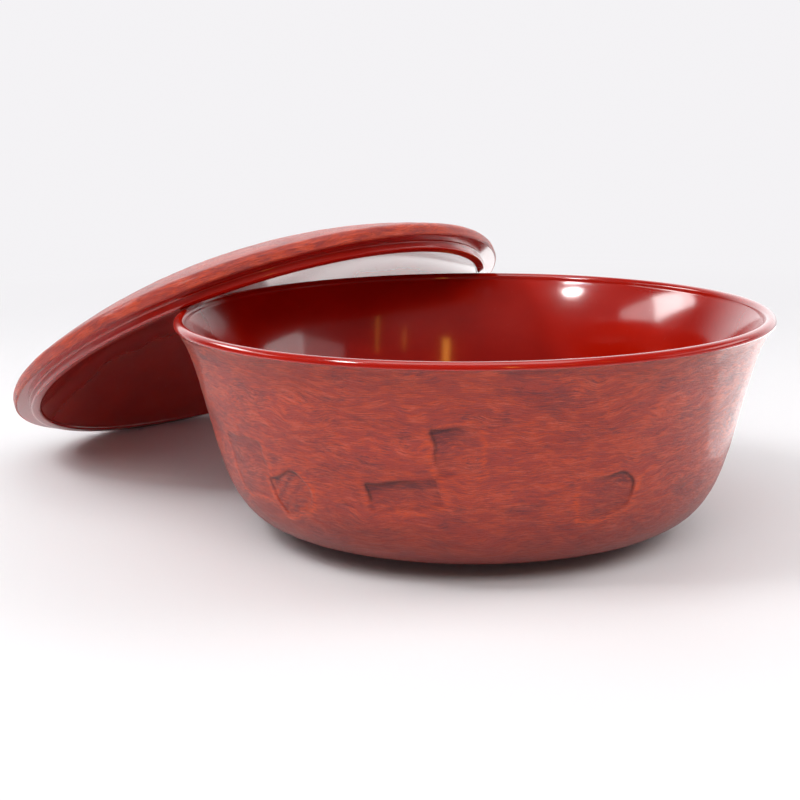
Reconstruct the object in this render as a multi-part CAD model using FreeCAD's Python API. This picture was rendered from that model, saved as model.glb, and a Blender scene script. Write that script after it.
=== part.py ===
import FreeCAD, Part
import math
import os

# A lidded lacquered bowl for rice. The bowl and its lid are each turned from wood, with a
# textured lacquer coat outside and a smooth one inside.
# Millimetres, +Z up. The origin is the centre of the bowl's foot ring, on the table.
# The lid leans on the back left of the rim, with the low edge of its brim on the table.
# Outlines lie in the (radius, height) plane and are turned about the vertical axis.

# Bowl, outside. Depths are measured down from the rim.
RIM_RADIUS = 65.0
RIM_WIDTH = 2.6
BOWL_HEIGHT = 47.5
LIP_HEIGHT = 1.45              # smooth lip that the inner coat folds over the rim
LIP_STEP = 0.06                # how far the lip stands out from the textured coat
FLARE_DEPTH = 16.0
FLARE_RADIUS = 59.3
FLARE_UPPER_PULL = (2.8, 2.9)
FLARE_LOWER_PULL = (1.2, 4.8)
WALL_DEPTH = 26.0              # where the straight wall starts to turn under
WALL_RADIUS = 56.8
BELLY_SIDE_PULL = 25.0
BELLY_FLOOR_PULL = 23.0
BELLY_FLOOR_RADIUS = 20.0
BELLY_FLOOR_HEIGHT = 3.8

# Foot ring
FOOT_RADIUS = 32.0
FOOT_WIDTH = 4.0
FOOT_FILLET = 0.8
FOOT_RECESS = 1.9
BARE_FOOT_HEIGHT = 0.4         # uncoated band above the resting ring

# Bowl, inside
WELL_RADIUS = 52.8             # at WALL_DEPTH
WELL_UPPER_PULL = (2.3, 3.45)
WELL_LOWER_PULL = (1.6, 9.5)
WELL_SIDE_PULL = 17.0
WELL_FLOOR_PULL = 37.0
WELL_FLOOR_HEIGHT = 6.4

# Lacquer
COAT = 0.5
POCKET_DEPTH = 0.2             # squares wiped back into the textured coat
POCKET_REACH = 0.5             # how far a pocket's cutter stands off the surface

# Lid, in its own frame: the brim's underside is at height 0
BRIM_RADIUS = 64.6
BRIM_HEIGHT = 2.9
BRIM_ROUND = 1.3
DOME_HEIGHT = 17.1
DOME_POWER = 2.44
LID_LIP_RADIUS = 61.0
LID_LIP_WIDTH = 2.4
LID_LIP_DEPTH = 2.0
LID_LIP_ROUND = 0.6
HOLLOW_HEIGHT = 14.2
HOLLOW_POWER = 3.4

# How the lid leans
LEAN_TILT = 28.75              # degrees from level
LEAN_HEADING = 133.0           # degrees from +X, from the bowl's axis to the lid's low edge
LEAN_REACH = 80.1              # from the bowl's axis to the centre of the brim's underside

# Pockets in the textured coat: (heading of the centre, width) in degrees, lowest, highest height
FRONT = -90.0
FRONT_POCKETS = [
    (FRONT - 52.6, 13.6, 15.0, 27.3),
    (FRONT - 39.9, 11.2, 13.6, 21.7),
    (FRONT - 13.4, 14.8, 17.1, 23.2),
    (FRONT - 2.8, 8.5, 24.8, 34.5),
    (FRONT + 27.5, 12.0, 14.8, 23.4),
]
BACK_POCKET_COUNT = 6
BACK_POCKET_START = FRONT + 84.0
BACK_POCKET_STEP = 36.0
BACK_POCKET_WIDTH = 12.0
BACK_POCKET_HEIGHTS = ((15.0, 23.5), (24.5, 33.0), (18.0, 28.0))

SAMPLES = 14                   # points on each smooth stretch of an outline
SEARCH_STEP = 1e-6             # how closely the start of the foot ring's fillet is found
QUARTER_ROUND = 0.5523         # Bezier pull that makes a quarter of a circle
UP = FreeCAD.Vector(0, 0, 1)
CENTRE = FreeCAD.Vector(0, 0, 0)


def vector(point):
    return FreeCAD.Vector(point[0], 0, point[1])


def steps(count):
    return [i / (count - 1) for i in range(count)]


def moved(point, direction, distance):
    return (point[0] + direction[0] * distance, point[1] + direction[1] * distance)


def cubic(poles, t):
    """The point at t on a cubic Bezier curve, and the unit normal on its left."""
    weights = ((1 - t) ** 3, 3 * t * (1 - t) ** 2, 3 * t * t * (1 - t), t**3)
    slopes = ((1 - t) ** 2, 2 * t * (1 - t), t * t)
    point = [sum(w * pole[i] for w, pole in zip(weights, poles)) for i in (0, 1)]
    run = [sum(w * (poles[k + 1][i] - poles[k][i]) for k, w in enumerate(slopes)) for i in (0, 1)]
    length = math.hypot(*run)
    return point, (-run[1] / length, run[0] / length)


def smooth(points):
    """A smooth edge through the points."""
    curve = Part.BSplineCurve()
    curve.interpolate([vector(p) for p in points])
    return curve.toShape()


def straight(*points):
    """Straight edges from point to point."""
    return [Part.makeLine(vector(a), vector(b)) for a, b in zip(points, points[1:])]


def rounded(start, corner, end):
    """An edge from start to end that rounds off the corner between them."""
    near = [start[i] + QUARTER_ROUND * (corner[i] - start[i]) for i in (0, 1)]
    far = [end[i] + QUARTER_ROUND * (corner[i] - end[i]) for i in (0, 1)]
    curve = Part.BezierCurve()
    curve.setPoles([vector(p) for p in (start, near, far, end)])
    return curve.toShape()


def turned(edges, heading=0.0, sweep=360.0):
    """The solid that a closed outline sweeps about the vertical axis, from a heading."""
    face = Part.Face(Part.Wire(edges))
    face.rotate(CENTRE, UP, heading)
    return face.revolve(CENTRE, UP, sweep)


# Bowl outlines. Each is a list of points, at a depth into the lacquered surface.


def flare(t):
    """Outside of the bowl from under the lip to the straight wall."""
    start = (RIM_RADIUS - LIP_STEP, BOWL_HEIGHT - LIP_HEIGHT)
    end = (FLARE_RADIUS, BOWL_HEIGHT - FLARE_DEPTH)
    upper = (start[0] - FLARE_UPPER_PULL[0], start[1] - FLARE_UPPER_PULL[1])
    lower = (end[0] + FLARE_LOWER_PULL[0], end[1] + FLARE_LOWER_PULL[1])
    return cubic((start, upper, lower, end), t)


def belly(t):
    """Outside of the bowl from the foot of the wall, under and in towards the foot ring."""
    start = (WALL_RADIUS, BOWL_HEIGHT - WALL_DEPTH)
    run = (WALL_RADIUS - FLARE_RADIUS, FLARE_DEPTH - WALL_DEPTH)
    side = moved(start, run, BELLY_SIDE_PULL / math.hypot(*run))
    end = (BELLY_FLOOR_RADIUS, BELLY_FLOOR_HEIGHT)
    return cubic((start, side, (end[0] + BELLY_FLOOR_PULL, end[1]), end), t)


def belly_end():
    """Where along the belly the foot ring's fillet starts."""
    low, high = 0.0, 1.0
    while high - low > SEARCH_STEP:
        middle = (low + high) / 2
        if belly(middle)[0][0] > FOOT_RADIUS + FOOT_FILLET:
            low = middle
        else:
            high = middle
    return low


def outside(depth):
    """The outer surface from the lip to the foot ring's fillet."""
    last = belly_end()
    samples = [flare(t) for t in steps(SAMPLES)] + [belly(t * last) for t in steps(SAMPLES)]
    return [moved(p, n, -depth) for p, n in samples]


def inside(depth):
    """The inner surface from the rim to the middle of the floor."""
    rim = (RIM_RADIUS - RIM_WIDTH, BOWL_HEIGHT - RIM_WIDTH / 2)
    wall = (WELL_RADIUS, BOWL_HEIGHT - WALL_DEPTH)
    upper = (rim[0] - WELL_UPPER_PULL[0], rim[1] - WELL_UPPER_PULL[1])
    lower = (wall[0] + WELL_LOWER_PULL[0], wall[1] + WELL_LOWER_PULL[1])
    side = moved(wall, WELL_LOWER_PULL, -WELL_SIDE_PULL / math.hypot(*WELL_LOWER_PULL))
    floor = (0.0, WELL_FLOOR_HEIGHT)
    sides = [cubic((rim, upper, lower, wall), t) for t in steps(SAMPLES)]
    well = [cubic((wall, side, (WELL_FLOOR_PULL, floor[1]), floor), t) for t in steps(SAMPLES)]
    return [moved(p, n, depth) for p, n in sides + well[1:]]


def foot_wall(depth, last_height):
    """Edges from the end of the outer surface down the outside of the foot ring."""
    start = outside(depth)[-1]
    corner = (FOOT_RADIUS - depth, start[1])
    end = (corner[0], corner[1] - FOOT_FILLET)
    return [rounded(start, corner, end), *straight(end, (end[0], last_height))]


def rim_top(start, end, depth):
    """Edges over the rim, from inside the bowl to outside."""
    crown = (RIM_RADIUS - RIM_WIDTH / 2, BOWL_HEIGHT - depth)
    over = rounded(start, (start[0], crown[1]), crown)
    return [over, rounded(crown, (end[0], crown[1]), end)]


def bowl_core():
    """The turned wood: wall, floor and foot ring."""
    outer = outside(COAT)
    inner = inside(COAT)
    shoulder = (RIM_RADIUS - COAT, BOWL_HEIGHT - RIM_WIDTH / 2)
    foot_outer = FOOT_RADIUS - COAT
    foot_inner = FOOT_RADIUS - FOOT_WIDTH
    edges = [smooth(outer), *foot_wall(COAT, BARE_FOOT_HEIGHT)]
    edges += straight(
        (foot_outer, BARE_FOOT_HEIGHT),
        (foot_outer - BARE_FOOT_HEIGHT, 0),
        (foot_inner, 0),
        (foot_inner, FOOT_RECESS),
        (0, FOOT_RECESS),
        inner[-1],
    )
    edges += [smooth(inner[::-1]), *rim_top(inner[0], shoulder, COAT)]
    edges += straight(shoulder, outer[0])
    return turned(edges)


def bowl_inner_coat():
    """Smooth lacquer over the inside and the rim, down to the foot of the lip."""
    skin = inside(0)
    wood = inside(COAT)
    shoulder = (RIM_RADIUS - COAT, BOWL_HEIGHT - RIM_WIDTH / 2)
    edge = (RIM_RADIUS, BOWL_HEIGHT - RIM_WIDTH / 2)
    lip_foot = (RIM_RADIUS, BOWL_HEIGHT - LIP_HEIGHT)
    edges = [smooth(skin[::-1]), *rim_top(skin[0], edge, 0)]
    edges += straight(edge, lip_foot, outside(0)[0], outside(COAT)[0], shoulder)
    edges += [*reversed(rim_top(wood[0], shoulder, COAT)), smooth(wood), *straight(wood[-1], skin[-1])]
    return turned(edges)


def pocket(heading, width, low, high):
    """The ring sector between two heights and two headings."""
    near = FOOT_RADIUS
    far = RIM_RADIUS + FOOT_RADIUS
    outline = straight((near, low), (far, low), (far, high), (near, high), (near, low))
    return turned(outline, heading - width / 2, width)


def pocket_layer():
    """The layer of the textured coat that the pockets are cut from."""
    proud = outside(-POCKET_REACH)
    deep = outside(POCKET_DEPTH)
    edges = [smooth(proud), *straight(proud[-1], deep[-1])]
    edges += [smooth(deep[::-1]), *straight(deep[0], proud[0])]
    return turned(edges)


def bowl_outer_coat():
    """Textured lacquer from under the lip to the foot, and inside the foot ring."""
    skin = outside(0)
    wood = outside(COAT)
    edges = [smooth(skin), *foot_wall(0, BARE_FOOT_HEIGHT)]
    edges += straight((FOOT_RADIUS, BARE_FOOT_HEIGHT), (FOOT_RADIUS - COAT, BARE_FOOT_HEIGHT))
    edges += [*reversed(foot_wall(COAT, BARE_FOOT_HEIGHT))]
    edges += [smooth(wood[::-1]), *straight(wood[0], skin[0])]
    coat = turned(edges)
    layer = pocket_layer()
    heights = BACK_POCKET_HEIGHTS
    back = [
        (BACK_POCKET_START + BACK_POCKET_STEP * i, BACK_POCKET_WIDTH, *heights[i % len(heights)])
        for i in range(BACK_POCKET_COUNT)
    ]
    for place in FRONT_POCKETS + back:
        coat = coat.cut(layer.common(pocket(*place)))
    under = FOOT_RADIUS - FOOT_WIDTH
    low = FOOT_RECESS - COAT
    disc = turned(straight((0, low), (under, low), (under, FOOT_RECESS), (0, FOOT_RECESS), (0, low)))
    return Part.makeCompound([*coat.Solids, disc])


# Lid outlines


def arch(edge_radius, edge_height, crown_height, power, last_radius, depth):
    """A domed outline from the axis to last_radius, raised by depth along its upward normal."""
    points = []
    for t in steps(2 * SAMPLES):
        radius = last_radius * t
        drop = (crown_height - edge_height) / edge_radius**power
        height = crown_height - drop * radius**power
        slope = -drop * power * radius ** (power - 1)
        length = math.hypot(1, slope)
        points.append(moved((radius, height), (-slope / length, 1 / length), depth))
    return points


def dome(depth):
    """The outside of the lid, from its crown to the round of the brim."""
    last = BRIM_RADIUS - BRIM_ROUND
    return arch(BRIM_RADIUS, BRIM_HEIGHT, DOME_HEIGHT, DOME_POWER, last, -depth)


def hollow(depth):
    """The inside of the lid, from its crown to the lip."""
    edge = LID_LIP_RADIUS - LID_LIP_WIDTH
    low = LID_LIP_ROUND - LID_LIP_DEPTH
    return arch(edge, low, HOLLOW_HEIGHT, HOLLOW_POWER, edge, depth)


def brim_edge(depth):
    """Edges from the dome over the round of the brim and down to near its underside."""
    start = dome(depth)[-1]
    side = BRIM_RADIUS - depth
    end = (side, BRIM_HEIGHT - BRIM_ROUND)
    return [rounded(start, (side, BRIM_HEIGHT - depth), end), *straight(end, (side, COAT))]


def lid_core():
    """The turned wood of the lid: dome, brim and locating lip."""
    top = dome(COAT)
    under = hollow(COAT)
    lip_outer = LID_LIP_RADIUS - COAT
    lip_low = COAT - LID_LIP_DEPTH
    edges = [smooth(top), *brim_edge(COAT)]
    edges += straight(
        (BRIM_RADIUS - COAT, COAT),
        (lip_outer, COAT),
        (lip_outer, lip_low),
        (under[-1][0], lip_low),
        under[-1],
    )
    edges += [smooth(under[::-1]), *straight(under[0], top[0])]
    return turned(edges)


def lid_outer_coat():
    """Textured lacquer over the dome and round the edge of the brim."""
    top = dome(0)
    wood = dome(COAT)
    low = (BRIM_RADIUS - COAT, 0)
    edges = [smooth(top), *brim_edge(0), rounded((BRIM_RADIUS, COAT), (BRIM_RADIUS, 0), low)]
    edges += [*straight(low, (low[0], COAT)), *reversed(brim_edge(COAT))]
    edges += [smooth(wood[::-1]), *straight(wood[0], top[0])]
    return turned(edges)


def lid_inner_coat():
    """Smooth lacquer under the brim, round the lip and over the hollow."""
    skin = hollow(0)
    wood = hollow(COAT)
    low = -LID_LIP_DEPTH
    outer = LID_LIP_RADIUS
    inner = LID_LIP_RADIUS - LID_LIP_WIDTH
    brim = BRIM_RADIUS - COAT
    side_end = (outer, low + LID_LIP_ROUND)
    edges = straight((brim, COAT), (brim, 0), (outer, 0), side_end)
    edges.append(rounded(side_end, (outer, low), (outer - LID_LIP_ROUND, low)))
    edges += straight((outer - LID_LIP_ROUND, low), (inner + LID_LIP_ROUND, low))
    edges += [rounded((inner + LID_LIP_ROUND, low), (inner, low), skin[-1]), smooth(skin[::-1])]
    edges += [*straight(skin[0], wood[0]), smooth(wood)]
    edges += straight(
        wood[-1],
        (wood[-1][0], low + COAT),
        (outer - COAT, low + COAT),
        (outer - COAT, COAT),
        (brim, COAT),
    )
    return turned(edges)


def leaning():
    """Where the lid lies: tilted away from the bowl, with its low edge on the table."""
    heading = math.radians(LEAN_HEADING)
    tilt = math.radians(LEAN_TILT)
    across = FreeCAD.Vector(-math.sin(heading), math.cos(heading), 0)
    drop = (BRIM_RADIUS - COAT) * math.sin(tilt) - COAT * math.cos(tilt) + COAT
    place = FreeCAD.Vector(LEAN_REACH * math.cos(heading), LEAN_REACH * math.sin(heading), drop)
    return FreeCAD.Placement(place, FreeCAD.Rotation(across, LEAN_TILT))


def main():
    os.makedirs("parts", exist_ok=True)
    nodes = {
        "bowl_core": bowl_core(),
        "bowl_outer_coat": bowl_outer_coat(),
        "bowl_inner_coat": bowl_inner_coat(),
        "lid_core": lid_core(),
        "lid_outer_coat": lid_outer_coat(),
        "lid_inner_coat": lid_inner_coat(),
    }
    for name, shape in nodes.items():
        if name.startswith("lid"):
            shape.Placement = leaning()
        shape.exportStep(f"parts/{name}.step")


main()
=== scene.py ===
import math

import bmesh
import bpy
import numpy as np
from mathutils import Matrix, Vector


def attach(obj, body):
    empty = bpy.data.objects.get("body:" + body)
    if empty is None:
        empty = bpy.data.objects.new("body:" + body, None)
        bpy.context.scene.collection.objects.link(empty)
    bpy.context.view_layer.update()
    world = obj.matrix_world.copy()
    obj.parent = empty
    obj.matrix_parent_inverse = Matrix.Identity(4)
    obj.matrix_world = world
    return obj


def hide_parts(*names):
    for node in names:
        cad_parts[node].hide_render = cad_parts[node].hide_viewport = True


# A lidded lacquered bowl on a white sweep, in soft studio light. Metres, in the CAD frame.
# Each turned surface is a fine mesh: an outline in the (radius, height) plane, swept about
# its own axis, with the brush marks and the wiped squares cut into it as real relief.

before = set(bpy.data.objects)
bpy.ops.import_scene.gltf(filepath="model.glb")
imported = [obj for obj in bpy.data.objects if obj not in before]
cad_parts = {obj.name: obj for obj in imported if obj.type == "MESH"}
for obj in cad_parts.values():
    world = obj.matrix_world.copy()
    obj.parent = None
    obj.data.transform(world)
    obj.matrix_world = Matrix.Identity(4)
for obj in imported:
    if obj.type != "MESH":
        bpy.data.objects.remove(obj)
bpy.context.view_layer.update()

MM = 0.001

# Bowl, outside
RIM_RADIUS = 65.0
RIM_WIDTH = 2.6
BOWL_HEIGHT = 47.5
LIP_HEIGHT = 1.45
LIP_STEP = 0.06
LIP_TAPER = 0.02               # how far the lip draws in at its foot
FLARE_DEPTH = 16.0
FLARE_RADIUS = 59.3
FLARE_UPPER_PULL = (2.8, 2.9)
FLARE_LOWER_PULL = (1.2, 4.8)
WALL_DEPTH = 26.0
WALL_RADIUS = 56.8
BELLY_SIDE_PULL = 25.0
BELLY_FLOOR_PULL = 23.0
BELLY_FLOOR_RADIUS = 20.0
BELLY_FLOOR_HEIGHT = 3.8

# Foot ring
FOOT_RADIUS = 32.0
FOOT_WIDTH = 4.0
FOOT_FILLET = 0.8
FOOT_RECESS = 1.9
BARE_FOOT_HEIGHT = 0.4

# Bowl, inside
WELL_RADIUS = 52.8
WELL_UPPER_PULL = (2.3, 3.45)
WELL_LOWER_PULL = (1.6, 9.5)
WELL_SIDE_PULL = 17.0
WELL_FLOOR_PULL = 37.0
WELL_FLOOR_HEIGHT = 6.4
COAT = 0.5

# Lid, in its own frame: the brim's underside is at height 0
BRIM_RADIUS = 64.6
BRIM_HEIGHT = 2.9
BRIM_ROUND = 1.3
DOME_HEIGHT = 17.1
DOME_POWER = 2.44
LID_LIP_RADIUS = 61.0
LID_LIP_WIDTH = 2.4
LID_LIP_DEPTH = 2.0
LID_LIP_ROUND = 0.6
HOLLOW_HEIGHT = 14.2
HOLLOW_POWER = 3.4
LEAN_TILT = 28.75
LEAN_HEADING = 133.0
LEAN_REACH = 80.1

# Squares wiped back into the textured lacquer: angles in degrees from the front, sizes in mm.
# SQUARE gives what a row leaves out.
SQUARE = {
    "slant": 0.0,              # how far it is turned
    "left": 0.8,               # how round its corners are on each side
    "right": 0.8,
    "deep": 0.22,              # how far it sinks
    "fade": 0.0,               # above 0 it loses its right side, below 0 its left
    "shade": 1.0,              # how dark its wiped colour, its painted shade at the top and its painted edge shadow are
    "halo": 1.0,               # how much its edges were worn
    "strokes": 0.0,            # strokes across it
    "slope": 0.0,              # and their slope
    "edge": 0,                 # which side edge has painted shadow: -1 left, 0 neither, 1 right
}
FRONT_SQUARES = [
    {"turn": -52.6, "width": 13.6, "low": 15.0, "high": 27.3, "slant": 3.0, "right": 2.0,
     "deep": 0.10, "shade": 0.40, "halo": 1.2},
    {"turn": -39.9, "width": 11.2, "low": 13.6, "high": 21.7, "slant": 22.0, "left": 1.5,
     "right": 3.6, "halo": 1.6, "strokes": 0.8, "slope": 0.35},
    {"turn": -13.4, "width": 14.8, "low": 17.1, "high": 23.2, "slant": 7.0, "halo": 0.6,
     "strokes": 0.5, "edge": -1},
    {"turn": -2.8, "width": 8.5, "low": 24.8, "high": 34.5, "slant": 5.0, "fade": 0.7,
     "shade": 0.8, "edge": -1},
    {"turn": 27.5, "width": 12.0, "low": 14.8, "high": 23.4, "slant": 6.0, "right": 4.0,
     "fade": -0.9, "shade": 0.9, "halo": 1.2, "strokes": 0.2, "edge": 1},
]
BACK_SQUARE_COUNT = 6
BACK_SQUARE_START = 84.0
BACK_SQUARE_STEP = 36.0
BACK_SQUARE_LOOK = {"width": 12.0, "shade": 0.7, "halo": 0.7, "edge": -1}
BACK_SQUARE_HEIGHTS = ((15.0, 23.5), (24.5, 33.0), (18.0, 28.0))

# Mesh fineness
GRID = 0.34                    # along a textured outline
SMOOTH_GRID = 0.5              # along a smooth outline
SHARP_TURN = 0.04              # an outline point where it turns more than this, in radians, is kept
CLOSEST = 0.04                 # between points along an outline, in mm
TEXTURED_TURNS = 1000
SMOOTH_TURNS = 420
CURVE_SAMPLES = 160
ROUND_SAMPLES = 12
QUARTER_ROUND = 0.5523         # Bezier pull that makes a quarter of a circle
SAME_POINT = 1e-6
FEWEST_POINTS = 3
DECIMALS = 3                   # kept in a distance along an outline
FOOT_SHADE_HEIGHTS = (3.0, 20.0)     # heights between which painted shade darkens the lacquer towards the foot
SEED = 7
POLE_REACH = 0.001             # how near the axis a point counts as on it
INSET = 0.9998                 # keeps the fine mesh inside the CAD's coarser facets

# Relief, in mm. Sizes are round the object, then along its outline.
STROKE_DEPTH = 0.105
SLOW_WANDER = (11.0, 7.0)
SLOW_REACH = 1.5
QUICK_WANDER = (3.6, 2.6)
QUICK_REACH = 0.5
WANDER_START = 3.0             # keeps the bent distance above 0
MARKS = ((5.0, 1.3, 0.25), (3.0, 0.8, 0.30), (2.0, 0.62, 0.28))      # two sizes and a share
FEWEST_CELLS = 4
WALL_EASE_LIP = (0.0, 1.0)     # where the relief grows from nothing to full
WALL_EASE_FOOT = (1.0, 5.0)
LID_EASE_CROWN = (2.0, 12.0)
LID_EASE_BRIM = (0.2, 1.4)

# Marks of a square, among them painted shade at its top and painted shadow along its edges. Pairs are
# where a mark starts and is full.
WAVE_SIDES = (0.22, 1.1)       # how far its sides wave, and how quickly
WAVE_ENDS = (0.18, 0.8)
FADE_SPAN = (-0.4, 0.9)
EDGE_SPAN = (-0.15, 0.35)
SHADED_TOP_SPAN = (-0.3, 0.9)
WIPED_AND_SHADE_SHARES = (0.35, 0.65)    # wiped all over, and painted shade that darkens it more at the top
STROKE_PITCH = 2.6             # of the slanted strokes, in radians per mm
STROKE_WEAR = 0.5
HALO_PLACE = 0.8               # how far outside the edge it is worn most
HALO_WIDTH = 0.65
HALO_SPAN = (-0.2, 1.3)
HALO_SHARES = (0.3, 0.7)       # worn all round, and more away from the top
SHADOW_LINE_PLACE = 0.30              # how far inside the edge the painted shadow line is
SHADOW_LINE_WIDTH = 0.34
SHADOW_LINE_SPAN = (0.2, 1.0)
SHADOW_LINE_SHARES = (0.08, 0.92)     # painted shadow all round, and more at the top
SHADOW_LINE_SIDE = 0.85

# Camera
CAMERA_PLACE = (0.0, -336.3, 97.5)
CAMERA_YAW = -2.729
CAMERA_PITCH = 11.790
CAMERA_ROLL = -0.700
CAMERA_LENS = 69.64
CAMERA_SENSOR = 36.0
CAMERA_NEAR = 0.01

# Studio, in metres
FLOOR_HALF = 4.0
FLOOR_ROUGH = 0.55
FLOOR_SHINE = 0.25
FLOOR_FADE = (0.14, 0.50)      # where the floor fades into the room
FLOOR_COLOUR = (0.790, 0.782, 0.795, 1)
ROOM_WHITE = (0.905, 0.892, 0.912, 1)
ROOM_LEVEL = 0.30              # light that the room gives
GLOSS_FRONT = 0.055            # what polish mirrors of the room, at its dark front
GLOSS_BACK = 1.5               # and at its bright back
GLOSS_TURN = (-0.95, -0.45)    # how far round from back to front the change runs
GOLD = (1.0, 0.45, 0.06)
WHITE = (1, 1, 1)
LIGHTS_AIM = (0, 0, 0.03)
PANELS = [                     # name, azimuth, elevation, distance, width, height, power, colour
    ("top_softbox", 0, 87, 0.9, 0.8, 0.6, 2.1),
    ("window_left", -113, 33, 0.75, 0.26, 0.13, 0.62),
    ("window_left_soft", -100, 33, 0.75, 0.40, 0.10, 0.28),
    ("window_left_near", -58, 48, 0.75, 0.09, 0.06, 0.62),
    ("window_left_far", -66, 55, 0.75, 0.14, 0.03, 0.42),
    ("panel_right", 108, 20, 0.8, 0.34, 0.18, 0.27),
    ("panel_right_dim", 84, 20, 0.8, 0.34, 0.18, 0.10),
    ("lamp_gold", 14, 25, 0.8, 0.045, 0.20, 0.13, GOLD),
    ("lamp_gold_faint", 37, 31, 0.8, 0.020, 0.14, 0.010, GOLD),
    ("lamp_gold_thin", 52, 32, 0.8, 0.014, 0.20, 0.018, GOLD),
]
FILLS = [                      # the same, but the polish does not mirror them
    ("fill_front", 6, 44, 1.6, 1.9, 0.64, 11.8),
    ("fill_right", 100, 35, 1.0, 0.5, 0.5, 3.6),
    ("fill_left", -70, 45, 1.0, 0.5, 0.5, 2.6),
]
ROUND_BELOW = 0.15             # panels smaller than this are round
CARD_HEIGHT = 0.0005
CARD_DARK = (0.015, 0.012, 0.012, 1)
CARD_PALE = (0.030, 0.024, 0.024, 1)
CARD_ROUGH = 0.8
CARD_GRAIN = 60.0
DARK_CARDS = {                 # left, right, front and back edges
    "dark_card_front": (-0.60, 0.60, -0.75, -0.155),
    "dark_card_right": (0.135, 0.60, -0.155, -0.015),
}
GLOW_CARDS = {                 # the same, and power; they face up and light only the polish
    "glow_card_back": (-0.050, 0.070, 0.100, 0.220, 0.055),
    "glow_card_right": (0.082, 0.240, 0.000, 0.240, 0.28),
}


# Outlines, as arrays of (radius, height) points


def bezier(poles, count=CURVE_SAMPLES):
    """Points along a cubic Bezier curve."""
    t = np.linspace(0.0, 1.0, count)[:, None]
    a, b, c, d = (np.array(pole, float) for pole in poles)
    return (1 - t) ** 3 * a + 3 * t * (1 - t) ** 2 * b + 3 * t * t * (1 - t) * c + t**3 * d


def rounded(start, corner, end):
    """Points from start to end that round off the corner between them."""
    start, corner, end = (np.array(p, float) for p in (start, corner, end))
    near_start = start + QUARTER_ROUND * (corner - start)
    near_end = end + QUARTER_ROUND * (corner - end)
    return bezier((start, near_start, near_end, end), ROUND_SAMPLES)


def spaced(points, step):
    """The same line with points no further apart than a step, and the distance along it."""
    points = np.array(points, float)
    runs = np.linalg.norm(np.diff(points, axis=0), axis=1)
    points = points[np.concatenate([[True], runs > SAME_POINT])]
    along = np.concatenate([[0], np.cumsum(np.linalg.norm(np.diff(points, axis=0), axis=1))])
    even = np.linspace(0, along[-1], max(FEWEST_POINTS, int(round(along[-1] / step)) + 1))
    turn = np.unwrap(np.arctan2(*np.diff(points, axis=0).T[::-1]))
    sharp = along[1:-1][np.abs(np.diff(turn)) > SHARP_TURN]
    at = np.unique(np.round(np.concatenate([even, sharp]), DECIMALS))
    at = at[np.concatenate([[True], np.diff(at) > CLOSEST])]
    at[-1] = along[-1]
    return np.stack([np.interp(at, along, points[:, i]) for i in (0, 1)], axis=1), at


def bowl_outside():
    """The outer surface from under the lip to the bare foot."""
    start = (RIM_RADIUS - LIP_STEP, BOWL_HEIGHT - LIP_HEIGHT)
    end = (FLARE_RADIUS, BOWL_HEIGHT - FLARE_DEPTH)
    upper = (start[0] - FLARE_UPPER_PULL[0], start[1] - FLARE_UPPER_PULL[1])
    lower = (end[0] + FLARE_LOWER_PULL[0], end[1] + FLARE_LOWER_PULL[1])
    wall = (WALL_RADIUS, BOWL_HEIGHT - WALL_DEPTH)
    run = np.array((WALL_RADIUS - FLARE_RADIUS, FLARE_DEPTH - WALL_DEPTH))
    side = np.array(wall) + run / np.linalg.norm(run) * BELLY_SIDE_PULL
    floor = (BELLY_FLOOR_RADIUS, BELLY_FLOOR_HEIGHT)
    belly = bezier((wall, side, (floor[0] + BELLY_FLOOR_PULL, floor[1]), floor))
    belly = belly[belly[:, 0] > FOOT_RADIUS + FOOT_FILLET]
    corner = (FOOT_RADIUS, belly[-1][1])
    fillet = rounded(belly[-1], corner, (FOOT_RADIUS, corner[1] - FOOT_FILLET))
    foot = [(FOOT_RADIUS, BARE_FOOT_HEIGHT)]
    return np.concatenate([bezier((start, upper, lower, end)), belly, fillet, foot])


def bowl_inside():
    """The inner surface, from the middle of the floor up, over the rim and down the lip."""
    rim = (RIM_RADIUS - RIM_WIDTH, BOWL_HEIGHT - RIM_WIDTH / 2)
    wall = (WELL_RADIUS, BOWL_HEIGHT - WALL_DEPTH)
    upper = (rim[0] - WELL_UPPER_PULL[0], rim[1] - WELL_UPPER_PULL[1])
    lower = (wall[0] + WELL_LOWER_PULL[0], wall[1] + WELL_LOWER_PULL[1])
    slope = np.array(WELL_LOWER_PULL)
    side = np.array(wall) - slope / np.linalg.norm(slope) * WELL_SIDE_PULL
    floor = (0.0, WELL_FLOOR_HEIGHT)
    well = bezier((floor, (WELL_FLOOR_PULL, floor[1]), side, wall))
    sides = bezier((wall, lower, upper, rim))
    crown = (RIM_RADIUS - RIM_WIDTH / 2, BOWL_HEIGHT)
    edge = (RIM_RADIUS, BOWL_HEIGHT - RIM_WIDTH / 2)
    rise = rounded(rim, (rim[0], crown[1]), crown)
    fall = rounded(crown, (edge[0], crown[1]), edge)
    lip_foot = (RIM_RADIUS - LIP_TAPER, BOWL_HEIGHT - LIP_HEIGHT)
    under = (RIM_RADIUS - LIP_STEP - COAT / 2, BOWL_HEIGHT - LIP_HEIGHT)
    return np.concatenate([well, sides, rise, fall, [lip_foot, under]])


def arch(edge_radius, edge_height, crown_height, power, last_radius):
    """A domed outline from the axis outwards."""
    radius = np.linspace(0, last_radius, 2 * CURVE_SAMPLES)
    height = crown_height - (crown_height - edge_height) * (radius / edge_radius) ** power
    return np.stack([radius, height], axis=1)


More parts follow.
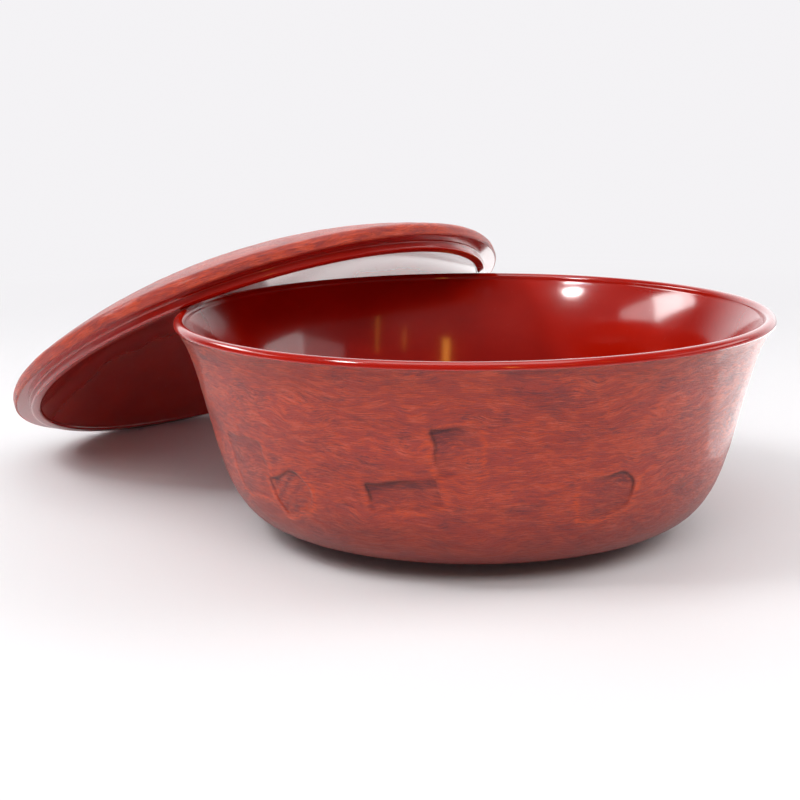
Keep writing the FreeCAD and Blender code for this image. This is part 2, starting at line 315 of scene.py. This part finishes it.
def lid_outside():
    """The dome, and round the brim's edge to its underside."""
    dome = arch(BRIM_RADIUS, BRIM_HEIGHT, DOME_HEIGHT, DOME_POWER, BRIM_RADIUS - BRIM_ROUND)
    side = (BRIM_RADIUS, BRIM_HEIGHT - BRIM_ROUND)
    over = rounded(dome[-1], (BRIM_RADIUS, BRIM_HEIGHT), side)
    turn = rounded((BRIM_RADIUS, COAT), (BRIM_RADIUS, 0), (BRIM_RADIUS - COAT, 0))
    return np.concatenate([dome, over, turn])


def lid_inside():
    """The hollow, round the locating lip and out along the brim's underside."""
    inner = LID_LIP_RADIUS - LID_LIP_WIDTH
    low = -LID_LIP_DEPTH
    hollow = arch(inner, LID_LIP_ROUND + low, HOLLOW_HEIGHT, HOLLOW_POWER, inner)
    turn = rounded(hollow[-1], (inner, low), (inner + LID_LIP_ROUND, low))
    outer = LID_LIP_RADIUS
    back = rounded((outer - LID_LIP_ROUND, low), (outer, low), (outer, low + LID_LIP_ROUND))
    return np.concatenate([hollow, turn, back, [(outer, 0), (BRIM_RADIUS - COAT, 0)]])


def foot_underside():
    """The recess inside the foot ring, as a lacquered disc."""
    return np.array([(0.0, FOOT_RECESS - COAT), (FOOT_RADIUS - FOOT_WIDTH, FOOT_RECESS - COAT)])


# Relief


def steps_between(value, low, high):
    """0 below low, 1 above high, smooth between."""
    t = np.clip((value - low) / (high - low), 0, 1)
    return t * t * (3 - 2 * t)


def lattice(random, across, along, wide, tall):
    """Smooth random values that wrap round, on a grid of cells wide x tall."""
    cells_wide = max(FEWEST_CELLS, int(round(across.max() / wide)))
    cells_tall = max(FEWEST_CELLS, int(round(along.max() / tall)) + 2)
    values = random.uniform(-1, 1, (cells_wide, cells_tall))
    x = across / across.max() * cells_wide
    y = along / tall
    x0 = np.floor(x).astype(int)
    y0 = np.clip(np.floor(y).astype(int), 0, cells_tall - 2)
    fx = steps_between(x - x0, 0, 1)
    fy = steps_between(y - y0, 0, 1)
    a = values[x0 % cells_wide, y0]
    b = values[(x0 + 1) % cells_wide, y0]
    c = values[x0 % cells_wide, y0 + 1]
    d = values[(x0 + 1) % cells_wide, y0 + 1]
    return (a * (1 - fx) + b * fx) * (1 - fy) + (c * (1 - fx) + d * fx) * fy


def wavy(random, across, along):
    """The distance along the outline, bent so that marks which follow it wander."""
    slow = lattice(random, across, along, *SLOW_WANDER)
    quick = lattice(random, across, along, *QUICK_WANDER)
    return np.clip(along + SLOW_REACH * slow + QUICK_REACH * quick + WANDER_START, 0, None)


def brush_marks(random, across, bent):
    """Relief of the brush marks, from 0 in a groove to 1 on a ridge."""
    ridge = 0.5
    for wide, tall, share in MARKS:
        ridge = ridge + share * lattice(random, across, bent, wide, tall)
    return np.clip(ridge, 0, 1)


def square_place(degrees, height, square):
    """Where each point is in a square: in mm, in halves of its sides, and how far in."""
    away = (degrees - square["turn"] + 180.0) % 360.0 - 180.0
    x = np.radians(away) * WALL_RADIUS
    y = height - (square["low"] + square["high"]) / 2
    half_x = math.radians(square["width"]) * WALL_RADIUS / 2
    half_y = (square["high"] - square["low"]) / 2
    slant = math.radians(square["slant"])
    wave_u = WAVE_SIDES[0] * np.sin(WAVE_SIDES[1] * y + square["turn"])
    wave_v = WAVE_ENDS[0] * np.sin(WAVE_ENDS[1] * x + square["turn"])
    u = math.cos(slant) * x + math.sin(slant) * y + wave_u
    v = math.cos(slant) * y - math.sin(slant) * x + wave_v
    corner = np.where(u > 0, square["right"], square["left"])
    over_x = np.abs(u) - half_x + corner
    over_y = np.abs(v) - half_y + corner
    outer = np.hypot(np.maximum(over_x, 0), np.maximum(over_y, 0))
    gap = corner - outer - np.minimum(np.maximum(over_x, over_y), 0)
    return u, v, u / half_x, v / half_y, gap


def square_fields(degrees, height, square):
    """How far a square sinks, how wiped and worn each point in and round it is, the painted shade at
    its top and the painted shadow along its edges.
    """
    u, v, across, up, gap = square_place(degrees, height, square)
    shade, strokes, fade = square["shade"], square["strokes"], square["fade"]
    kept = 1 - abs(fade) * steps_between(across * np.sign(fade), *FADE_SPAN)
    within = steps_between(gap, *EDGE_SPAN) * kept
    # painted shade, darker under the square's top edge
    top = steps_between(up, *SHADED_TOP_SPAN)
    slanted = 0.5 + 0.5 * np.sin(STROKE_PITCH * (v - square["slope"] * u))
    wiped_and_shade = within * shade * (WIPED_AND_SHADE_SHARES[0] + WIPED_AND_SHADE_SHARES[1] * top) * (1 - strokes * slanted)
    rim = np.exp(-(((gap + HALO_PLACE) / HALO_WIDTH) ** 2)) + strokes * within * slanted * STROKE_WEAR
    low_down = steps_between(np.abs(across) - up, *HALO_SPAN)
    worn = rim * square["halo"] * (HALO_SHARES[0] + HALO_SHARES[1] * low_down)
    # painted shadow along the top edge and one side edge
    line = np.exp(-(((gap - SHADOW_LINE_PLACE) / SHADOW_LINE_WIDTH) ** 2)) * kept
    shadowed_top_and_side = steps_between(up + SHADOW_LINE_SIDE * square["edge"] * across, *SHADOW_LINE_SPAN)
    painted_edge_shadow = line * (SHADOW_LINE_SHARES[0] + SHADOW_LINE_SHARES[1] * shadowed_top_and_side) * shade
    return within * square["deep"], wiped_and_shade, worn, painted_edge_shadow


def bowl_squares(degrees, height):
    """All the squares' fields: those at the front, and more of them round the back."""
    squares = [{**SQUARE, **row} for row in FRONT_SQUARES]
    for i in range(BACK_SQUARE_COUNT):
        low, high = BACK_SQUARE_HEIGHTS[i % len(BACK_SQUARE_HEIGHTS)]
        turn = BACK_SQUARE_START + BACK_SQUARE_STEP * i
        squares.append({**SQUARE, **BACK_SQUARE_LOOK, "turn": turn, "low": low, "high": high})
    fields = [square_fields(degrees, height, square) for square in squares]
    return [np.maximum.reduce(kind) for kind in zip(*fields)]


# Meshes


def normals(line):
    """Unit normals on the left of the line's direction, which is the side that shows."""
    run = np.gradient(line, axis=0)
    run /= np.linalg.norm(run, axis=1)[:, None]
    return np.stack([-run[:, 1], run[:, 0]], axis=1)


def mesh_of(name, points, faces):
    """A new smooth mesh object."""
    mesh = bpy.data.meshes.new(name)
    mesh.vertices.add(len(points))
    mesh.vertices.foreach_set("co", points.astype(np.float32).ravel())
    mesh.loops.add(faces.size)
    mesh.loops.foreach_set("vertex_index", faces.astype(np.int32).ravel())
    mesh.polygons.add(len(faces))
    mesh.polygons.foreach_set("loop_start", np.arange(0, faces.size, 4, dtype=np.int32))
    mesh.update(calc_edges=True)
    mesh.shade_smooth()
    piece = bpy.data.objects.new(name, mesh)
    bpy.context.scene.collection.objects.link(piece)
    return piece


def turned(radius, height, headings):
    """Points round Z, and the faces between each turn of them and the next."""
    turns, rows = radius.shape
    points = np.stack([radius * np.cos(headings), radius * np.sin(headings), height], axis=2)
    i, j = np.meshgrid(np.arange(turns), np.arange(rows - 1), indexing="ij")
    here, there = i * rows + j, (i + 1) % turns * rows + j
    faces = np.stack([here, here + 1, there + 1, there], axis=2).reshape(-1, 4)
    return points.reshape(-1, 3) * MM, faces


def store(piece, name, kind, field, values):
    """Keeps a value for each point, for the material to read."""
    attribute = piece.data.attributes.new(name, kind, "POINT")
    attribute.data.foreach_set(field, values.astype(np.float32).ravel())


def swept(name, outline, step, turns, relief=None):
    """The outline turned about Z. relief gives how far each point sinks below the outline, and
    the fields that its material reads."""
    line, along = spaced(outline, step)
    degrees = np.linspace(0, 360, turns, endpoint=False)[:, None] + np.zeros(len(line))
    radius = np.zeros((turns, 1)) + line[:, 0] * INSET
    height = np.zeros((turns, 1)) + line[:, 1]
    along = np.zeros((turns, 1)) + along
    fields = {}
    if relief:
        sink, along, fields = relief(degrees, radius, height, along)
        out = normals(line)
        radius = radius - sink * out[:, 0]
        height = height - sink * out[:, 1]
    headings = np.radians(degrees) - math.pi / 2
    piece = mesh_of(name, *turned(radius, height, headings))
    brush = (WALL_RADIUS * np.cos(headings), WALL_RADIUS * np.sin(headings), along)
    store(piece, "brush", "FLOAT_VECTOR", "vector", np.stack(brush, axis=2))
    for key, values in fields.items():
        store(piece, key, "FLOAT", "value", values)
    close_pole(piece)
    return piece


def close_pole(piece):
    """Joins the points that meet on the axis."""
    work = bmesh.new()
    work.from_mesh(piece.data)
    middle = [v for v in work.verts if math.hypot(v.co.x, v.co.y) < POLE_REACH * MM]
    bmesh.ops.remove_doubles(work, verts=middle, dist=2 * POLE_REACH * MM)
    work.to_mesh(piece.data)
    work.free()


def bowl_relief(degrees, radius, height, along):
    """Brush marks and wiped squares on the bowl, easing out at the lip and the foot, with painted
    shade and shadow in the squares and painted shade towards the foot.
    """
    random = np.random.default_rng(SEED)
    across = np.radians(degrees) * WALL_RADIUS
    bent = wavy(random, across, along)
    ridge = brush_marks(random, across, bent)
    depth, wiped_and_shade, worn, painted_edge_shadow = bowl_squares(degrees, height)
    ease = steps_between(along, *WALL_EASE_LIP) * steps_between(height, *WALL_EASE_FOOT)
    sink = ((1 - ridge) * STROKE_DEPTH + depth) * ease
    # painted shade: the lacquer darkens towards the foot
    deep = 1 - steps_between(height, *FOOT_SHADE_HEIGHTS)
    return sink, bent, {"ridge": ridge, "wiped_and_shade": wiped_and_shade, "worn": worn, "painted_edge_shadow": painted_edge_shadow, "deep": deep}


def lid_relief(degrees, radius, height, along):
    """Brush marks that run round the lid, easing out at its crown and under its brim."""
    random = np.random.default_rng(SEED + 1)
    across = np.radians(degrees) * WALL_RADIUS
    bent = wavy(random, across, along)
    ridge = brush_marks(random, across, bent)
    ease = steps_between(radius, *LID_EASE_CROWN) * steps_between(height, *LID_EASE_BRIM)
    blank = np.zeros_like(ridge)
    fields = {"ridge": ridge, "wiped_and_shade": blank, "worn": blank, "painted_edge_shadow": blank, "deep": blank}
    return (1 - ridge) * STROKE_DEPTH * ease, bent, fields


# Materials


def put(tree, socket, value):
    """Links a socket to the value, or sets it."""
    if isinstance(value, bpy.types.NodeSocket):
        tree.links.new(value, socket)
    else:
        socket.default_value = value


class Nodes:
    """Short ways to add and join shader nodes."""

    def __init__(self, name):
        self.material = bpy.data.materials.new(name)
        self.material.use_nodes = True
        self.tree = self.material.node_tree
        self.shader = self.tree.nodes["Principled BSDF"]

    def put(self, socket, value):
        put(self.tree, socket, value)

    def node(self, kind, **inputs):
        node = self.tree.nodes.new(kind)
        for key, value in inputs.items():
            self.put(node.inputs[key], value)
        return node

    def attribute(self, name, output="Fac"):
        node = self.tree.nodes.new("ShaderNodeAttribute")
        node.attribute_name = name
        return node.outputs[output]

    def stretched(self, vector, scale):
        return self.node("ShaderNodeMapping", Vector=vector, Scale=scale).outputs["Vector"]

    def noise(self, vector, scale, detail=4.0, roughness=0.55, distortion=0.0):
        node = self.node("ShaderNodeTexNoise", Vector=vector, Scale=scale, Detail=detail)
        node.inputs["Roughness"].default_value = roughness
        node.inputs["Distortion"].default_value = distortion
        return node.outputs["Fac"]

    def ramp(self, value, low, high):
        node = self.tree.nodes.new("ShaderNodeMapRange")
        node.interpolation_type = "SMOOTHSTEP"
        self.put(node.inputs["Value"], value)
        self.put(node.inputs["From Min"], low)
        self.put(node.inputs["From Max"], high)
        return node.outputs["Result"]

    def math(self, operation, a, b):
        node = self.tree.nodes.new("ShaderNodeMath")
        node.operation = operation
        self.put(node.inputs[0], a)
        self.put(node.inputs[1], b)
        return node.outputs[0]

    def mix(self, share, a, b):
        node = self.tree.nodes.new("ShaderNodeMix")
        node.data_type = "RGBA"
        self.put(node.inputs[0], share)
        self.put(node.inputs[6], a)
        self.put(node.inputs[7], b)
        return node.outputs[2]

    def bump(self, height, distance, strength=1.0):
        node = self.node("ShaderNodeBump", Height=height, Distance=distance, Strength=strength)
        self.tree.links.new(node.outputs["Normal"], self.shader.inputs["Normal"])

    def shade(self, **inputs):
        for key, value in inputs.items():
            self.put(self.shader.inputs[key.replace("_", " ")], value)


DUSTY_RED = (0.430, 0.044, 0.026, 1)
VERMILION = (0.700, 0.076, 0.014, 1)
MAUVE = (0.130, 0.026, 0.040, 1)
# painted highlight on the ridges
RIDGE_HIGHLIGHT = (0.720, 0.190, 0.150, 1)
# dark of the cracks, and of the painted shadow along the squares' edges
SEAM_AND_SHADOW = (0.040, 0.007, 0.010, 1)
# colour of the wiped squares, also the painted shade at their tops
WIPED_AND_SHADE_TINT = (0.095, 0.017, 0.026, 1)
# painted shade towards the foot
FOOT_SHADE_RED = (0.190, 0.010, 0.005, 1)

# Patterns of the brushed lacquer: scale, detail, roughness and distortion
FLECKS = ((0.40, 0.40, 2.6), 7.0, 0.74, 0.4)
GRAIN = ((0.42, 0.42, 6.0), 6.0, 0.80, 0.3)
CLOUDS = ((0.10, 0.10, 0.20), 5.0, 0.62, 0.4)
THREADS = ((0.16, 0.16, 1.5), 5.0, 0.62, 0.3)
BRIGHT_SPAN = (0.60, 0.76)     # where each mark starts in its pattern, and is full
SHADY_SPAN = (0.80, 0.98)
LINES_SPAN = (0.52, 0.60)
HIGHLIGHT_SPAN = (0.40, 0.30)
CRACKS_SPAN = (0.011, 0.002)
CRACKED_CLOUDS = (0.44, 0.58)
WIPED_AND_SHADE_FLECKS = (0.70, 0.45)
WORN_FLECKS = (0.40, 0.62)
RIDGE_BRIGHT = 0.34            # how much a ridge brightens
RIDGE_HIGHLIGHT_PULL = -0.12
SHADY_SHARE = 0.8
BRUSHED_ROUGH = (0.24, 0.30)   # least, and how much the grain adds
BRUSHED_BUMP = 0.32 * MM


def brushed_pattern(n, brush, scale, detail, roughness, distortion):
    """Noise drawn out along the brush marks."""
    return n.noise(n.stretched(brush, scale), 1.0, detail, roughness, distortion)


def brushed_marks(n, flecks, grain, clouds, threads):
    """What lies over the base colour, from the bottom up: where, how much and its colour."""
    ridge = n.attribute("ridge")
    bright = n.ramp(n.math("ADD", n.math("MULTIPLY", ridge, RIDGE_BRIGHT), flecks), *BRIGHT_SPAN)
    cloudy = n.math("MULTIPLY", clouds, SHADY_SHARE)
    shady = n.ramp(n.math("ADD", cloudy, n.math("MULTIPLY", grain, SHADY_SHARE)), *SHADY_SPAN)
    # painted highlight along the ridges of the brush marks
    painted_ridge_highlight = n.ramp(n.math("ADD", grain, n.math("MULTIPLY", ridge, RIDGE_HIGHLIGHT_PULL)), *HIGHLIGHT_SPAN)
    cracks = n.ramp(n.math("ABSOLUTE", n.math("SUBTRACT", threads, 0.5), 0.0), *CRACKS_SPAN)
    cracks = n.math("MULTIPLY", cracks, n.ramp(clouds, *CRACKED_CLOUDS))
    wiped_and_shade = n.math("MULTIPLY", n.attribute("wiped_and_shade"), n.ramp(flecks, *WIPED_AND_SHADE_FLECKS))
    worn = n.math("MULTIPLY", n.attribute("worn"), n.ramp(flecks, *WORN_FLECKS))
    return (
        (bright, 0.56, VERMILION),
        # painted highlight on the ridges
        (painted_ridge_highlight, 0.35, RIDGE_HIGHLIGHT),
        (shady, 0.60, MAUVE),
        (n.ramp(grain, *LINES_SPAN), 0.62, MAUVE),
        (cracks, 0.60, SEAM_AND_SHADOW),
        # painted shade darkening towards the foot
        (n.attribute("deep"), 0.75, FOOT_SHADE_RED),
        # the squares' wiped colour, with painted shade at their tops
        (wiped_and_shade, 0.9, WIPED_AND_SHADE_TINT),
        (worn, 1.0, VERMILION),
        # painted shadow along the squares' top and side edges
        (n.attribute("painted_edge_shadow"), 0.80, SEAM_AND_SHADOW),
    )


def brushed_lacquer():
    """Reddish brown lacquer over vermilion, brushed on and partly rubbed back, with painted highlights
    on the ridges and painted shade in the squares and towards the foot.
    """
    n = Nodes("brushed_lacquer")
    brush = n.attribute("brush", "Vector")
    patterns = [brushed_pattern(n, brush, *kind) for kind in (FLECKS, GRAIN, CLOUDS, THREADS)]
    flecks, grain = patterns[:2]
    colour = DUSTY_RED
    for where, share, tint in brushed_marks(n, *patterns):
        colour = n.mix(n.math("MULTIPLY", where, share), colour, tint)
    rough = n.math("ADD", n.math("MULTIPLY", grain, BRUSHED_ROUGH[1]), BRUSHED_ROUGH[0])
    n.shade(Base_Color=colour, Roughness=rough, IOR=1.42, Coat_Weight=0.25, Coat_Roughness=0.15)
    n.bump(n.math("ADD", grain, n.math("MULTIPLY", flecks, 0.8)), BRUSHED_BUMP)
    return n.material


LACQUER_RED = (0.420, 0.0070, 0.0005, 1)
LACQUER_DEEP = (0.350, 0.0048, 0.0004, 1)
SMOOTH_CLOUDS = (0.05, 0.05, 0.09)
SMOOTH_RINGS = (0.02, 0.02, 1.6)
SMOOTH_NIBS = (1.2, 1.2, 1.2)
SMOOTH_ROUGH = (0.20, 0.08)    # least, and how much the nibs add
FINE_BUMP = 0.05 * MM


def smooth_lacquer():
    """Polished vermilion lacquer with faint clouds, fine turning rings and dust nibs."""
    n = Nodes("smooth_lacquer")
    brush = n.attribute("brush", "Vector")
    clouds = n.noise(n.stretched(brush, SMOOTH_CLOUDS), 1.0, 3.0)
    rings = n.noise(n.stretched(brush, SMOOTH_RINGS), 1.0, 3.0)
    nibs = n.noise(n.stretched(brush, SMOOTH_NIBS), 1.0, 2.0)
    colour = n.mix(n.ramp(clouds, 0.3, 0.7), LACQUER_DEEP, LACQUER_RED)
    rough = n.math("ADD", n.math("MULTIPLY", n.ramp(nibs, 0.4, 0.8), SMOOTH_ROUGH[1]), SMOOTH_ROUGH[0])
    n.shade(Base_Color=colour, Roughness=rough, Specular_IOR_Level=0.12)
    n.shade(Coat_Weight=1.0, Coat_Roughness=0.11, Coat_IOR=1.8)
    uneven = n.math("ADD", n.math("MULTIPLY", rings, 0.5), n.math("MULTIPLY", clouds, 0.5))
    n.bump(uneven, FINE_BUMP, 0.6)
    return n.material


WOOD_PALE = (0.40, 0.22, 0.11, 1)
WOOD_DARK = (0.20, 0.095, 0.045, 1)
WOOD_GRAIN = (90, 1400, 1400)


def turned_wood():
    """Fine even grain, as on the bare foot."""
    n = Nodes("turned_wood")
    place = n.tree.nodes.new("ShaderNodeTexCoord").outputs["Object"]
    grain = n.noise(n.stretched(place, WOOD_GRAIN), 1.0, 6.0, 0.6, 0.5)
    colour = n.mix(n.ramp(grain, 0.35, 0.65), WOOD_DARK, WOOD_PALE)
    n.shade(Base_Color=colour, Roughness=n.math("ADD", n.math("MULTIPLY", grain, 0.2), 0.55))
    n.bump(grain, FINE_BUMP, 0.5)
    return n.material


# Pieces


def leaning():
    """Where the lid lies, as in the CAD."""
    heading, tilt = math.radians(LEAN_HEADING), math.radians(LEAN_TILT)
    across = Vector((-math.sin(heading), math.cos(heading), 0))
    rise = (BRIM_RADIUS - COAT) * math.sin(tilt) - COAT * math.cos(tilt) + COAT
    place = Vector((LEAN_REACH * math.cos(heading), LEAN_REACH * math.sin(heading), rise)) * MM
    return Matrix.Translation(place) @ Matrix.Rotation(tilt, 4, across)


def dress(piece, body, slot, material, *nodes):
    """Rides a piece on its body, gives it its material and hides the CAD nodes it stands for; slot is
    not used.
    """
    piece.data.materials.append(material)
    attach(piece, body)
    if nodes:
        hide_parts(*nodes)


def make_bowl(brushed, smooth):
    """The wall, the well and the disc inside the foot ring, which is polished."""
    wall = swept("bowl_wall", bowl_outside(), GRID, TEXTURED_TURNS, bowl_relief)
    dress(wall, "bowl", "brushed_lacquer", brushed, "bowl_outer_coat")
    well = swept("bowl_well", bowl_inside(), SMOOTH_GRID, SMOOTH_TURNS)
    dress(well, "bowl", "smooth_lacquer", smooth, "bowl_inner_coat")
    under = swept("bowl_underside", foot_underside()[::-1], SMOOTH_GRID, SMOOTH_TURNS)
    dress(under, "bowl", "brushed_lacquer", smooth)


def make_lid(brushed, smooth):
    """The dome and the hollow, made level and then leant."""
    dome = swept("lid_dome", lid_outside(), GRID, TEXTURED_TURNS, lid_relief)
    hollow = swept("lid_hollow", lid_inside()[::-1], SMOOTH_GRID, SMOOTH_TURNS)
    for piece in (dome, hollow):
        piece.data.transform(leaning())
    dress(dome, "lid", "brushed_lacquer", brushed, "lid_outer_coat")
    dress(hollow, "lid", "smooth_lacquer", smooth, "lid_inner_coat")


# Studio


def flat(name, left, right, front, back, height, material):
    """A level rectangle of the studio."""
    mesh = bpy.data.meshes.new(name)
    corners = ((left, front), (right, front), (right, back), (left, back))
    mesh.from_pydata([(x, y, height) for x, y in corners], [], [(0, 1, 2, 3)])
    mesh.materials.append(material)
    piece = bpy.data.objects.new(name, mesh)
    bpy.context.scene.collection.objects.link(piece)
    return piece


def make_floor():
    """A pale floor that fades into the white room around it."""
    n = Nodes("pale_floor")
    place = n.tree.nodes.new("ShaderNodeTexCoord").outputs["Object"]
    away = n.tree.nodes.new("ShaderNodeVectorMath")
    away.operation = "LENGTH"
    n.put(away.inputs[0], place)
    n.shade(Base_Color=FLOOR_COLOUR, Roughness=FLOOR_ROUGH, Specular_IOR_Level=FLOOR_SHINE)
    glow = n.node("ShaderNodeEmission", Color=ROOM_WHITE, Strength=1.0)
    blend = n.tree.nodes.new("ShaderNodeMixShader")
    n.put(blend.inputs[0], n.ramp(away.outputs["Value"], *FLOOR_FADE))
    n.put(blend.inputs[1], n.shader.outputs[0])
    n.put(blend.inputs[2], glow.outputs[0])
    n.put(n.tree.nodes["Material Output"].inputs["Surface"], blend.outputs[0])
    flat("floor", -FLOOR_HALF, FLOOR_HALF, -FLOOR_HALF, FLOOR_HALF, 0.0, n.material)


def make_cards():
    """Dark cards lying on the floor, which the camera does not see and only the polish shows."""
    n = Nodes("dark_card")
    place = n.tree.nodes.new("ShaderNodeTexCoord").outputs["Object"]
    n.shade(Base_Color=n.mix(n.noise(place, CARD_GRAIN), CARD_DARK, CARD_PALE), Roughness=CARD_ROUGH)
    for name, sides in DARK_CARDS.items():
        card = flat(name, *sides, CARD_HEIGHT, n.material)
        card.visible_camera = False
        card.visible_diffuse = False
        card.visible_shadow = False


def direction(azimuth, elevation):
    """A unit vector; azimuth 0 is the front and 90 the right."""
    a, e = math.radians(azimuth), math.radians(elevation)
    return Vector((math.sin(a) * math.cos(e), -math.cos(a) * math.cos(e), math.sin(e)))


def lamp(name, width, height, power, colour=WHITE):
    """A flat light that the camera does not see."""
    data = bpy.data.lights.new(name, "AREA")
    data.shape = "ELLIPSE" if max(width, height) < ROUND_BELOW else "RECTANGLE"
    data.size = width
    data.size_y = height
    data.energy = power
    data.color = colour
    light = bpy.data.objects.new(name, data)
    light.visible_camera = False
    bpy.context.scene.collection.objects.link(light)
    return light


def panel(name, azimuth, elevation, distance, width, height, power, colour=WHITE):
    """A soft light that faces the object."""
    light = lamp(name, width, height, power, colour)
    toward = direction(azimuth, elevation)
    light.location = Vector(LIGHTS_AIM) + toward * distance
    light.rotation_euler = toward.to_track_quat("Z", "Y").to_euler()
    return light


def make_lights():
    """Panels that the polish mirrors, fills that it does not, and cards that glow upwards."""
    for row in PANELS:
        panel(*row)
    for row in FILLS:
        panel(*row).visible_glossy = False
    for name, (left, right, front, back, power) in GLOW_CARDS.items():
        card = lamp(name, right - left, back - front, power)
        card.data.shape = "RECTANGLE"
        card.location = ((left + right) / 2, (front + back) / 2, CARD_HEIGHT)
        card.rotation_euler = (math.pi, 0, 0)
        card.visible_diffuse = False


def room_light(tree, strength):
    """White light from the room."""
    light = tree.nodes.new("ShaderNodeBackground")
    light.inputs["Color"].default_value = ROOM_WHITE
    put(tree, light.inputs["Strength"], strength)
    return light


def gloss_level(tree):
    """How bright the room is to polish: dark in front, bright behind."""
    toward = tree.nodes.new("ShaderNodeTexCoord").outputs["Generated"]
    dot = tree.nodes.new("ShaderNodeVectorMath")
    dot.operation = "DOT_PRODUCT"
    tree.links.new(toward, dot.inputs[0])
    dot.inputs[1].default_value = direction(0, 0)
    fade = tree.nodes.new("ShaderNodeMapRange")
    fade.interpolation_type = "SMOOTHSTEP"
    limits = {"From Min": GLOSS_TURN[0], "From Max": GLOSS_TURN[1]}
    limits.update({"To Min": GLOSS_BACK, "To Max": GLOSS_FRONT, "Value": dot.outputs["Value"]})
    for key, value in limits.items():
        put(tree, fade.inputs[key], value)
    return fade.outputs["Result"]


def make_room():
    """A white room, with its own level for plain light, for polish and for the camera."""
    world = bpy.data.worlds.new("room")
    bpy.context.scene.world = world
    world.use_nodes = True
    tree = world.node_tree
    rays = tree.nodes.new("ShaderNodeLightPath")
    shown = room_light(tree, ROOM_LEVEL)
    for ray, level in (("Is Glossy Ray", gloss_level(tree)), ("Is Camera Ray", 1.0)):
        blend = tree.nodes.new("ShaderNodeMixShader")
        tree.links.new(rays.outputs[ray], blend.inputs[0])
        tree.links.new(shown.outputs[0], blend.inputs[1])
        tree.links.new(room_light(tree, level).outputs[0], blend.inputs[2])
        shown = blend
    tree.links.new(shown.outputs[0], tree.nodes["World Output"].inputs["Surface"])


def make_camera():
    """The photograph's viewpoint."""
    camera = bpy.data.cameras.new("camera")
    camera.lens = CAMERA_LENS
    camera.sensor_width = CAMERA_SENSOR
    camera.clip_start = CAMERA_NEAR
    seen_by = bpy.data.objects.new("camera", camera)
    yaw, pitch, roll = (math.radians(a) for a in (CAMERA_YAW, CAMERA_PITCH, CAMERA_ROLL))
    level = Vector((math.sin(yaw), math.cos(yaw), 0))
    forward = level * math.cos(pitch) - Vector((0, 0, math.sin(pitch)))
    over = Vector((0, 0, math.cos(pitch))) + level * math.sin(pitch)
    side = Vector((math.cos(yaw), -math.sin(yaw), 0))
    right = side * math.cos(roll) + over * math.sin(roll)
    upward = over * math.cos(roll) - side * math.sin(roll)
    turn = Matrix((right, upward, -forward)).transposed().to_4x4()
    seen_by.matrix_world = Matrix.Translation(Vector(CAMERA_PLACE) * MM) @ turn
    bpy.context.scene.collection.objects.link(seen_by)
    bpy.context.scene.camera = seen_by


brushed = brushed_lacquer()
smooth = smooth_lacquer()
wood = turned_wood()
for core in ("bowl_core", "lid_core"):
    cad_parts[core].data.materials.clear()
    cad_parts[core].data.materials.append(wood)
make_bowl(brushed, smooth)
make_lid(brushed, smooth)
make_floor()
make_cards()
make_lights()
make_room()
make_camera()
bpy.context.scene.view_settings.view_transform = "Standard"
